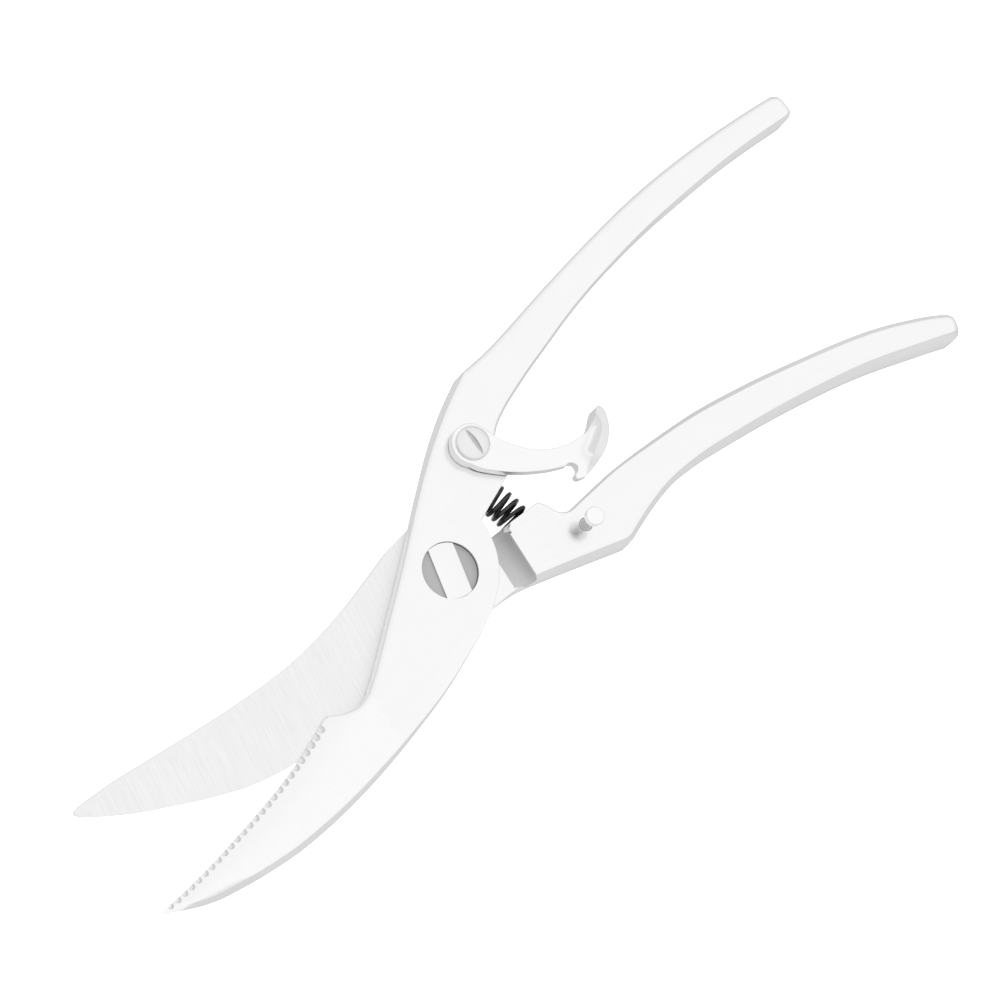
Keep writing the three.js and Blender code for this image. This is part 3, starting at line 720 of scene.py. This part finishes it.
def front_half():
    creases = relief_creases(FRONT_WALL, FRONT_WALL_FACING, 26)
    creases += [curve([(x, y - d) for x, y in FRONT_EDGE], 1.5) for d in (0.6, 1.4, 2.4, 3.6, 5.0)]
    creases += [offset_line(SHANK[:4], 0.8, d) for d in (0.7, 1.3, 2.0, 2.9, 3.8, 4.7)]
    mitre = (0, 0.15, 0.4, 0.8, 1.3, 1.9, 2.5)
    creases.append([np.array(SHANK[0]) + d * np.array(SHANK_MITRE) for d in mitre])
    obj = forging("front_half_body", front_outline(), front_face, front_back, creases)
    dress(obj, SATIN, BLADE, RELIEF_SHADE, GROOVE_SHADE)
    paint(obj, 1, lambda c, n: (c[:, 0] < FRONT_BLADE_FINISH_X) & (n[:, 2] > 0.3))
    grooves = serrations()
    # the grooves' faces get the darker groove steel: painted shade
    cut(obj, grooves[0::2], material=3)
    cut(obj, grooves[1::2], material=3)
    screw_hole = circle(SCREW_SHANK_RADIUS + CLEARANCE, 48)
    cut(obj, [prism(screw_hole, SCREW_FOOT_Z - HOLE_FLOOR_GAP, CUT_ABOVE, LEVER_PIVOT)])
    cut(obj, [spring_bore(SPRING_FRONT_MOUTH_ANGLE, SPRING_END_ANGLE)])
    cut(obj, [prism(circle(PIVOT_HEAD_RADIUS + CLEARANCE, 128), PIVOT_HEAD_Z - CLEARANCE, CUT_ABOVE)])
    cut(obj, [prism(circle(PIVOT_SHANK_RADIUS + CLEARANCE), *FRONT_BOLT_HOLE)])
    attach(obj, "front")
    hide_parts("front_half")


# ---------------- rear half

REAR_EDGE = [(-99.4, 9.6), (-95.8, 6.8), (-90, 3.1), (-82.7, -0.8), (-75.1, -4.6), (-67.1, -7.9),
             (-60.7, -9.6), (-55.2, -10.6), (-42, -12), (-24, -12.7)]
REAR_BACK = [(0, 13.2), (-5.5, 12.6), (-11.6, 11.2), (-23.8, 8.6), (-37.6, 7), (-47.4, 6.9), (-58, 7.6),
             (-68.1, 8.7), (-80.5, 10.3), (-89.8, 11.5), (-98.6, 12)]
REAR_WALL, REAR_WALL_FACING = (17.1, -1.7), 171.3
CORNER_WALL_FACING = 130.9
REAR_HANDLE_X = 24.0  # the face has the handle's full height from here on
REAR_BLADE_FINISH_X = 5.0
REAR_ROLL_DEPTH = 0.25  # the face rolls off a little towards the blade's back
REAR_ROLL_WIDTH = 5.0
REAR_ROLL_START_X = -12.0
REAR_ROLL_FADE_LENGTH = 20.0
REAR_GRIND_WIDTH = 10.0
REAR_GRIND_START_X = -24.0
REAR_GRIND_FADE_LENGTH = 12.0
REAR_EDGE_THICKNESS = 0.4
REAR_BOLT_HOLE_TOP = 8.0

def rear_outline():
    return np.vstack([
        edge(arc((0, 0), 13.2, 0, 90), top=(0.15, 0.15), back=(0.3, 0.3), spacing=0.8),
        edge(REAR_BACK,
             top=((0.15, 0.15), (0.5, 0.3)), back=((0.5, 0.5), (1.2, 0.9)), back_bevel=True),
        edge([(-98.6, 12), (-100.4, 11.7), (-100.5, 10.7), (-99.4, 9.6)], top=(0.5, 0.3), back=(0.6, 0.5),
             spacing=0.3),
        edge(REAR_EDGE, top=(0.06, 0.06), back=(0.05, 0.05), spacing=0.8),
        edge([(-24, -12.7), (5.3, -12.6)], top=(0.15, 0.15), back=(0.3, 0.3)),
        edge([(5.3, -12.6), (11.1, -13.1), (16.4, -14.3), (29.3, -18.2), (39.6, -21.4)],
             top=((0.15, 0.15), (1.5, 1.2), (1.7, 1.5), (1.9, 1.6)), back=(1.3, 1.3), bevel=True),
        edge([(39.6, -21.4), (48.7, -18.9), (57.6, -17.4), (67.4, -17.5), (76.9, -18.6), (95.3, -21.6),
              (116.3, -26.3), (135.9, -32.7), (142, -34.9)], top=((1.9, 1.6), (2.6, 2.1)), back=(1.6, 1.6),
             bevel=True),
        edge([(142, -34.9), (143.9, -34.4), (145.1, -32.6), (145.6, -30.6), (144.6, -28.9)],
             top=((2.6, 2.1), (1.8, 1.4)), back=(1.4, 1.4), bevel=True, spacing=0.5),
        edge([(144.6, -28.9), (138.7, -25.6), (128.2, -21), (117.2, -17.4), (99.7, -12.9), (88.3, -10.3),
              (74, -7.8), (60.4, -6.6), (47.4, -6), (36.9, -6.5), (33, -6.8), (30.9, -6.2), (29.6, -4.6),
              (28.9, -2.6), (27.6, -0.7)], top=((1.8, 1.4), (1.8, 1.4), (0.5, 0.4)), back=(1.2, 1.2),
             bevel=True),
        edge([(27.6, -0.7), (13.2, 0)], top=((0.4, 0.4), (0.15, 0.15)), back=(0.3, 0.3), spacing=0.6),
    ])


def rear_face(points):
    """The upper face: the handle root's two relief walls, the joint plate and the blade's inner face."""
    corner = beyond_wall(points, REAR_WALL, CORNER_WALL_FACING)
    wall = beyond_wall(points, REAR_WALL, REAR_WALL_FACING)
    height = np.minimum(relief_height(wall), relief_height(corner))
    far = points[:, 0] > REAR_HANDLE_X
    away = line_distance(points, REAR_BACK[2:], 1.5)
    fade = np.clip((REAR_ROLL_START_X - points[:, 0]) / REAR_ROLL_FADE_LENGTH, 0, 1)
    roll = REAR_ROLL_DEPTH * np.clip(1 - away / REAR_ROLL_WIDTH, 0, 1) ** 2 * fade
    return PLATE_THICKNESS - roll + np.where(far, HANDLE_THICKNESS - PLATE_THICKNESS, height)


def rear_back(points):
    """The hidden face, which thins towards the tip and is ground up to the cutting edge."""
    away = line_distance(points, REAR_EDGE, 1.0)
    thickness = PLATE_THICKNESS - taper(points)
    fade = np.clip((REAR_GRIND_START_X - points[:, 0]) / REAR_GRIND_FADE_LENGTH, 0, 1)
    grind = (thickness - REAR_EDGE_THICKNESS) * np.clip(1 - away / REAR_GRIND_WIDTH, 0, 1) ** 2 * fade
    return taper(points) + grind


def rear_half():
    creases = relief_creases(REAR_WALL, REAR_WALL_FACING, 17)
    creases += [curve([(x + 0.3 * d, y + d) for x, y in REAR_EDGE], 1.5) for d in (0.6, 1.4, 2.4, 3.6, 5.0)]
    obj = forging("rear_half_body", rear_outline(), rear_face, rear_back, creases)
    dress(obj, SATIN_REAR, GROUND, RELIEF_SHADE)
    paint(obj, 1, lambda c, n: (c[:, 0] < REAR_BLADE_FINISH_X) & (n[:, 2] > 0.5))

    def in_shaded_fillet(centres, normals):
        wall = beyond_wall(centres[:, :2], REAR_WALL, REAR_WALL_FACING)
        along = (wall > -0.05) & (wall < RELIEF_FILLET_RADIUS + WALL_DRAFT)
        return along & (centres[:, 2] > PLATE_THICKNESS) & (normals[:, 2] > -0.1)

    # the concave fillet under the relief wall gets the darker relief steel: painted shade
    paint(obj, 2, in_shaded_fillet)
    cut(obj, [prism(circle(PIVOT_SHANK_RADIUS + CLEARANCE), CUT_BELOW, REAR_BOLT_HOLE_TOP)])
    cut(obj, [prism(circle(NUT_RADIUS + CLEARANCE, 128), CUT_BELOW, NUT_RECESS_Z)])
    stud_hole = circle(STUD_SHANK_RADIUS + CLEARANCE, 48)
    cut(obj, [prism(stud_hole, STUD_FOOT_Z - HOLE_FLOOR_GAP, CUT_ABOVE, STUD_CENTRE)])
    cut(obj, [spring_bore(SPRING_REAR_MOUTH_ANGLE, SPRING_START_ANGLE)])
    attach(obj, "rear")
    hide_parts("rear_half")


# ---------------- pivot

def bar_cutters(bottom, top, bar_angle):
    """Two boxes that leave a bar between them, at the given angle from +X."""
    half = PIVOT_BAR_WIDTH / 2
    turn = Matrix.Rotation(math.radians(bar_angle), 4, "Z")
    reach, far = BAR_CUTTER_REACH, half + BAR_CUTTER_WIDTH
    outline = np.array([(-reach, half), (reach, half), (reach, far), (-reach, far)])
    return [moved(prism(outline, bottom, top), turn), moved(prism(-outline, bottom, top), turn)]


def pivot():
    """The bolt, the nut and the disc spring between the nut and the rear half."""
    foot = NUT_FLOOR + HOLE_FLOOR_GAP
    bolt = turned("pivot_bolt_body", [
        (0, foot), (PIVOT_THREAD_RADIUS, foot), (PIVOT_THREAD_RADIUS, NUT_RECESS_Z),
        (PIVOT_SHANK_RADIUS, NUT_RECESS_Z), (PIVOT_SHANK_RADIUS, PIVOT_HEAD_Z),
        (PIVOT_HEAD_RADIUS, PIVOT_HEAD_Z), (PIVOT_HEAD_RADIUS, PIVOT_HEAD_TOP), (0, PIVOT_HEAD_TOP)],
        segments=128)
    dress(bolt, PIVOT, RECESS_SHADE)
    # the pits' faces get the darker recess steel: painted shade
    cut(bolt, bar_cutters(PIVOT_HEAD_TOP - PIVOT_PIT_DEPTH, CUT_ABOVE, PIVOT_BAR_ANGLE), material=1)
    soften(bolt, PIVOT_ROUNDING)
    nut = turned("pivot_nut_body", [
        (0, 0), (NUT_RADIUS, 0), (NUT_RADIUS, NUT_THICKNESS),
        (PIVOT_THREAD_RADIUS + CLEARANCE, NUT_THICKNESS), (PIVOT_THREAD_RADIUS + CLEARANCE, NUT_FLOOR),
        (0, NUT_FLOOR)], segments=128)
    dress(nut, PIVOT, RECESS_SHADE)
    # the pits' faces get the darker recess steel: painted shade
    cut(nut, bar_cutters(CUT_BELOW, NUT_PIT_DEPTH, 0), material=1)
    soften(nut, NUT_ROUNDING)
    low = NUT_THICKNESS + CLEARANCE
    high = NUT_RECESS_Z - CLEARANCE - SPRING_WASHER_THICKNESS
    inner, outer = PIVOT_SHANK_RADIUS + CLEARANCE, NUT_RADIUS - CLEARANCE
    washer = turned("pivot_spring_washer_body", [
        (inner, high), (outer, low), (outer, low + SPRING_WASHER_THICKNESS),
        (inner, high + SPRING_WASHER_THICKNESS), (inner, high)])
    dress(washer, POLISHED)
    for obj, node, slot in ((bolt, "pivot_bolt", "pivot_steel"), (nut, "pivot_nut", "pivot_steel"),
                            (washer, "pivot_spring_washer", "polished_steel")):
        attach(obj, "rear")
        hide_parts(node)


# ---------------- handle spring

def handle_spring():
    """A coil whose centre line is an arc round the pivot; it is squeezed along that arc."""
    steps, sides = SPRING_STEPS_PER_TURN * SPRING_TURNS, SPRING_SIDES
    share = np.linspace(0, 1, steps + 1)
    angle = np.radians(SPRING_START_ANGLE + (SPRING_END_ANGLE - SPRING_START_ANGLE) * share)
    turn = 2 * np.pi * SPRING_TURNS * share
    radius = SPRING_ARC_RADIUS + SPRING_COIL_RADIUS * np.cos(turn)
    centre = np.column_stack([radius * np.cos(angle), radius * np.sin(angle),
                              CONTACT_Z + SPRING_COIL_RADIUS * np.sin(turn)])
    tangent = np.gradient(centre, axis=0)
    tangent /= np.linalg.norm(tangent, axis=1)[:, None]
    middle = np.column_stack([SPRING_ARC_RADIUS * np.cos(angle), SPRING_ARC_RADIUS * np.sin(angle),
                              np.full(steps + 1, CONTACT_Z)])
    outward = centre - middle
    outward -= tangent * (outward * tangent).sum(1)[:, None]
    outward /= np.linalg.norm(outward, axis=1)[:, None]
    across = np.cross(tangent, outward)
    around = 2 * np.pi * np.arange(sides) / sides
    ring = outward[:, None] * np.cos(around)[:, None] + across[:, None] * np.sin(around)[:, None]
    body = (centre[:, None] + SPRING_WIRE_RADIUS * ring).reshape(-1, 3)
    caps = np.vstack([centre[0] - SPRING_END_DOME * tangent[0], centre[-1] + SPRING_END_DOME * tangent[-1]])
    faces = []
    for row in range(steps):
        for k in range(sides):
            following = (k + 1) % sides
            faces.append((row * sides + k, row * sides + following, (row + 1) * sides + following,
                          (row + 1) * sides + k))
    last = steps * sides
    for k in range(sides):
        following = (k + 1) % sides
        faces.append((len(body), following, k))
        faces.append((len(body) + 1, last + k, last + following))
    obj = new_object("handle_spring_coil", np.vstack([body, caps]), faces, 50)
    dress(obj, SPRING)
    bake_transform(obj)
    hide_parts("handle_spring")


# ---------------- catch

LEVER_TAIL = [(39.5, -3.4), (41.5, -3.1), (44, -2.4), (47.6, -0.9), (50.9, 2), (52.8, 5.2)]
LEVER_HORN = [(52.8, 5.2), (52.6, 6.8), (51.5, 7.2), (50.2, 6.4)]
LEVER_RIDGE = [(50.2, 6.4), (49.4, 3.4), (46.7, 1.2), (43.6, -0.4), (41.2, -1.7), (39.5, -3.4)]


def lever_outline():
    eye = arc(LEVER_PIVOT, LEVER_EYE_RADIUS, 30, 225, 30)
    notch = arc(LEVER_NOTCH_CENTRE, LEVER_NOTCH_RADIUS, 115, -97, 20)
    rim = {"top": (0.45, 0.4), "back": (0.25, 0.25), "spacing": 0.5}
    return np.vstack([
        edge(eye, **rim),
        edge([eye[-1], (20.9, 12.9), (24.1, 9.6), (27.9, 6.5), (31.8, 4), (34.4, 2.6), notch[0]], **rim),
        edge(notch, top=(0.2, 0.2), back=(0.2, 0.2), spacing=0.3),
        edge([notch[-1], (37.4, -2), (37.7, -2.8), (39.5, -3.4)], top=(0.25, 0.25), spacing=0.3),
        edge(LEVER_TAIL, top=((0.2, 0.2), (0.4, 0.4)), back=((0.3, 0.3), (1.6, 1.6)), spacing=0.3),
        edge(LEVER_HORN, top=(0.45, 0.45), back=((1.6, 1.6), (0.3, 0.3)), spacing=0.3),
        edge([(50.2, 6.4), (47.6, 4.7), (45.4, 4.5), (42.5, 4.8), (39.8, 5.5), (36.4, 7.2), (33.6, 9.4),
              (31, 12.6), (29.4, 15.4), eye[0]], **rim),
    ])


def on_tab(points):
    """Which points lie on the tab's side of the ridge. The area reaches past the lever's rim, so that the
    rim's own points are all in it."""
    rim = np.vstack([curve(LEVER_TAIL, 0.2)[1:-1], curve(LEVER_HORN, 0.2)[:-1]])
    beyond_rim = np.array(TAB_CENTRE) + TAB_AREA_SCALE * (rim - np.array(TAB_CENTRE))
    return inside(points, np.vstack([curve(LEVER_RIDGE, 0.2), beyond_rim]))


def lever_face(points):
    """The arm's flat face, which curves up into the thumb tab along the ridge line."""
    away = line_distance(points, LEVER_RIDGE, 0.2)
    start, end = np.array(LEVER_RIDGE[-1]), np.array(LEVER_RIDGE[0])
    share = np.clip((points - start) @ (end - start) / ((end - start) @ (end - start)), 0, 1)
    climb = np.clip(share / TAB_CLIMB_SHARE, 0, 1)
    rise = (TAB_TOP_Z - LEVER_TOP_Z) * climb * climb * (3 - 2 * climb)
    crown = rise * (1 - TAB_TOP_SLOPE * away / (TAB_TOP_Z - LEVER_TOP_Z))
    ramp = rise * np.clip(1 - away / TAB_RAMP_WIDTH, 0, 1) ** 2
    return LEVER_TOP_Z + np.where(on_tab(points), crown, ramp)


def lock_lever():
    creases = [offset_line(LEVER_RIDGE, 0.4, -d)
               for d in (-0.6, -0.2, 0, 0.2, 0.5, 0.9, 1.4, 2.0, 2.7, 3.4, 4.2, 4.8)]
    obj = forging("lock_lever_body", lever_outline(), lever_face,
                  lambda points: np.full(len(points), LEVER_Z), creases, grid=0.8)
    dress(obj, LEVER, LEVER_SIDE_SHADE, TAB_TOP)
    paint(obj, 2, lambda c, n: on_tab(c[:, :2]) & (n[:, 2] > 0.5))
    # faces that don't face up, the lever's side walls, get the rougher, darker side steel: partly painted
    # shade
    paint(obj, 1, lambda c, n: n[:, 2] < 0.35)
    cut(obj, [prism(circle(SCREW_SHANK_RADIUS + CLEARANCE, 64), *LEVER_HOLE, LEVER_PIVOT)])
    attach(obj, "catch")
    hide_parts("lock_lever")


def lever_screw():
    """The catch's shoulder screw, and the washer under the catch."""
    seat = LEVER_TOP_Z + CLEARANCE
    rim = seat + SCREW_RIM_HEIGHT
    dome = [(SCREW_HEAD_RADIUS * math.cos(a), rim + SCREW_DOME_HEIGHT * math.sin(a))
            for a in np.linspace(SCREW_DOME_START, math.pi / 2, 14)]
    dome[-1] = (0, dome[-1][1])
    obj = turned("lever_screw_body", [
        (0, SCREW_FOOT_Z), (SCREW_SHANK_RADIUS, SCREW_FOOT_Z), (SCREW_SHANK_RADIUS, seat),
        (SCREW_HEAD_RADIUS - 0.1, seat), (SCREW_HEAD_RADIUS, seat + 0.1), (SCREW_HEAD_RADIUS, rim)] + dome,
        centre=LEVER_PIVOT, segments=128, smooth_angle=ROUND_PIECE_SHARP_ANGLE)
    dress(obj, SCREW, RELIEF_SHADE)
    bulge = np.linspace(-1, 1, 24)
    side = np.column_stack([SCREW_SLOT_HALF_LENGTH * bulge, SCREW_SLOT_HALF_WIDTH * (1 - bulge ** 2)])
    lens = np.vstack([side, -side[1:-1]])[::-1]
    turn = Matrix.Rotation(math.radians(SCREW_SLOT_ANGLE), 4, "Z")
    turn = Matrix.Translation(Vector((*LEVER_PIVOT, 0))) @ turn
    # the slot's faces get the darker relief steel: painted shade in the slot
    cut(obj, [moved(prism(lens, rim + SCREW_SLOT_RISE, rim + SCREW_SLOT_CUTTER_TOP), turn)],
        smooth_angle=ROUND_PIECE_SHARP_ANGLE, material=1)
    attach(obj, "front")
    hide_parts("lever_screw")
    inner = SCREW_SHANK_RADIUS + CLEARANCE
    low, high, chamfer = HANDLE_THICKNESS + CLEARANCE, LEVER_Z - CLEARANCE, WASHER_CHAMFER
    washer = turned("lever_washer_body", [
        (inner, low), (WASHER_RADIUS - chamfer, low), (WASHER_RADIUS, low + chamfer),
        (WASHER_RADIUS, high - chamfer), (WASHER_RADIUS - chamfer, high), (inner, high), (inner, low)],
        centre=LEVER_PIVOT)
    dress(washer, POLISHED)
    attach(washer, "front")
    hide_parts("lever_washer")


def lock_stud():
    """A headed pin; below the head it has the relief's darker, duller steel, which paints shade on its neck.
    """
    under = STUD_TOP - STUD_HEAD_THICKNESS
    shoulder, r = HANDLE_THICKNESS - STUD_SHOULDER_DROP, STUD_TOP_ROUNDING
    bevel = [(STUD_HEAD_RADIUS - r * (1 - math.cos(a)), STUD_TOP - r * (1 - math.sin(a)))
             for a in np.linspace(0, math.pi / 2, 5)]
    obj = turned("lock_stud_body", [
        (0, STUD_FOOT_Z), (STUD_SHANK_RADIUS, STUD_FOOT_Z), (STUD_SHANK_RADIUS, shoulder),
        (STUD_NECK_RADIUS, shoulder), (STUD_NECK_RADIUS, under),
        (STUD_HEAD_RADIUS - STUD_UNDER_CHAMFER, under),
        (STUD_HEAD_RADIUS, under + STUD_UNDER_CHAMFER)] + bevel + [(0, STUD_TOP)],
        centre=STUD_CENTRE, segments=72, smooth_angle=ROUND_PIECE_SHARP_ANGLE)
    dress(obj, POLISHED, RELIEF_SHADE)
    # the neck and shank below the head get the darker relief steel: painted shade
    paint(obj, 1, lambda c, n: c[:, 2] < under)
    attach(obj, "rear")
    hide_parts("lock_stud")


# ---------------- camera, floor and light

CAMERA_LENS = 121.5
CAMERA_PLACE = (-0.31264, -0.02186, 0.68958)  # in metres
CAMERA_TURN = (19.061, -18.288, -43.145)  # in degrees
FLOOR_HALF_SIZE = 12.0  # in metres
FLOOR_DROP = 0.00005  # the floor lies this far under the shears, in metres
SKY = [(0.0, 0.74), (0.45, 0.76), (0.56, 0.80), (0.72, 0.98), (0.85, 1.05), (1.0, 1.07)]  # (height, tone)


def camera():
    """A long lens above the shears, looking down past the pivot with the blades to the lower left."""
    data = bpy.data.cameras.new("camera")
    data.lens = CAMERA_LENS
    data.sensor_width = 36.0
    data.clip_start = 0.01
    obj = in_scene("camera", data)
    turn = Euler([math.radians(angle) for angle in CAMERA_TURN])
    obj.matrix_world = Matrix.Translation(CAMERA_PLACE) @ turn.to_matrix().to_4x4()
    bpy.context.scene.camera = obj


def floor():
    """A bright, dull plane that the shears lie on."""
    size = FLOOR_HALF_SIZE
    mesh = bpy.data.meshes.new("floor")
    corners = [(-size, -size), (size, -size), (size, size), (-size, size)]
    mesh.from_pydata([(x, y, -FLOOR_DROP) for x, y in corners], [], [(0, 1, 2, 3)])
    obj = in_scene("floor", mesh)
    material = bpy.data.materials.new("pale_floor")
    material.use_nodes = True
    setting(material.node_tree.nodes["Principled BSDF"], {
        "Base Color": (0.9, 0.9, 0.9, 1), "Roughness": 0.7, "Specular IOR Level": 0.2,
        "Emission Color": (1, 1, 1, 1), "Emission Strength": 0.95})
    mesh.materials.append(material)
    obj.visible_glossy = False


def area_light(name, place, size, power):
    data = bpy.data.lights.new(name, "AREA")
    data.shape = "RECTANGLE"
    data.size, data.size_y = size
    data.energy = power
    obj = in_scene(name, data)
    obj.location = place
    obj.rotation_euler = (-Vector(place)).to_track_quat("-Z", "Y").to_euler()


def studio():
    """An overcast studio: bright overhead, grey near the horizon and below it."""
    world = bpy.data.worlds.new("studio")
    bpy.context.scene.world = world
    world.use_nodes = True
    nodes, links = world.node_tree.nodes, world.node_tree.links
    place = nodes.new("ShaderNodeTexCoord")
    split = nodes.new("ShaderNodeSeparateXYZ")
    links.new(place.outputs["Generated"], split.inputs["Vector"])
    share = setting(nodes.new("ShaderNodeMapRange"), {"From Min": -1.0, "From Max": 1.0})
    links.new(split.outputs["Z"], share.inputs["Value"])
    ramp = nodes.new("ShaderNodeValToRGB")
    for position, tone in SKY[1:-1]:
        ramp.color_ramp.elements.new(position).color = (tone, tone, tone, 1)
    ramp.color_ramp.elements[0].color = (SKY[0][1],) * 3 + (1,)
    ramp.color_ramp.elements[-1].color = (SKY[-1][1],) * 3 + (1,)
    links.new(share.outputs["Result"], ramp.inputs["Fac"])
    links.new(ramp.outputs["Color"], nodes["Background"].inputs["Color"])
    nodes["Background"].inputs["Strength"].default_value = 1.0
    area_light("side_softbox", (-0.13, 1.24, 0.3), (1.8, 0.25), 0.35)
    bpy.context.scene.view_settings.view_transform = "Standard"


# ---------------- the whole scene

camera()
front_half()
rear_half()
pivot()
handle_spring()
lock_lever()
lever_screw()
lock_stud()
floor()
studio()
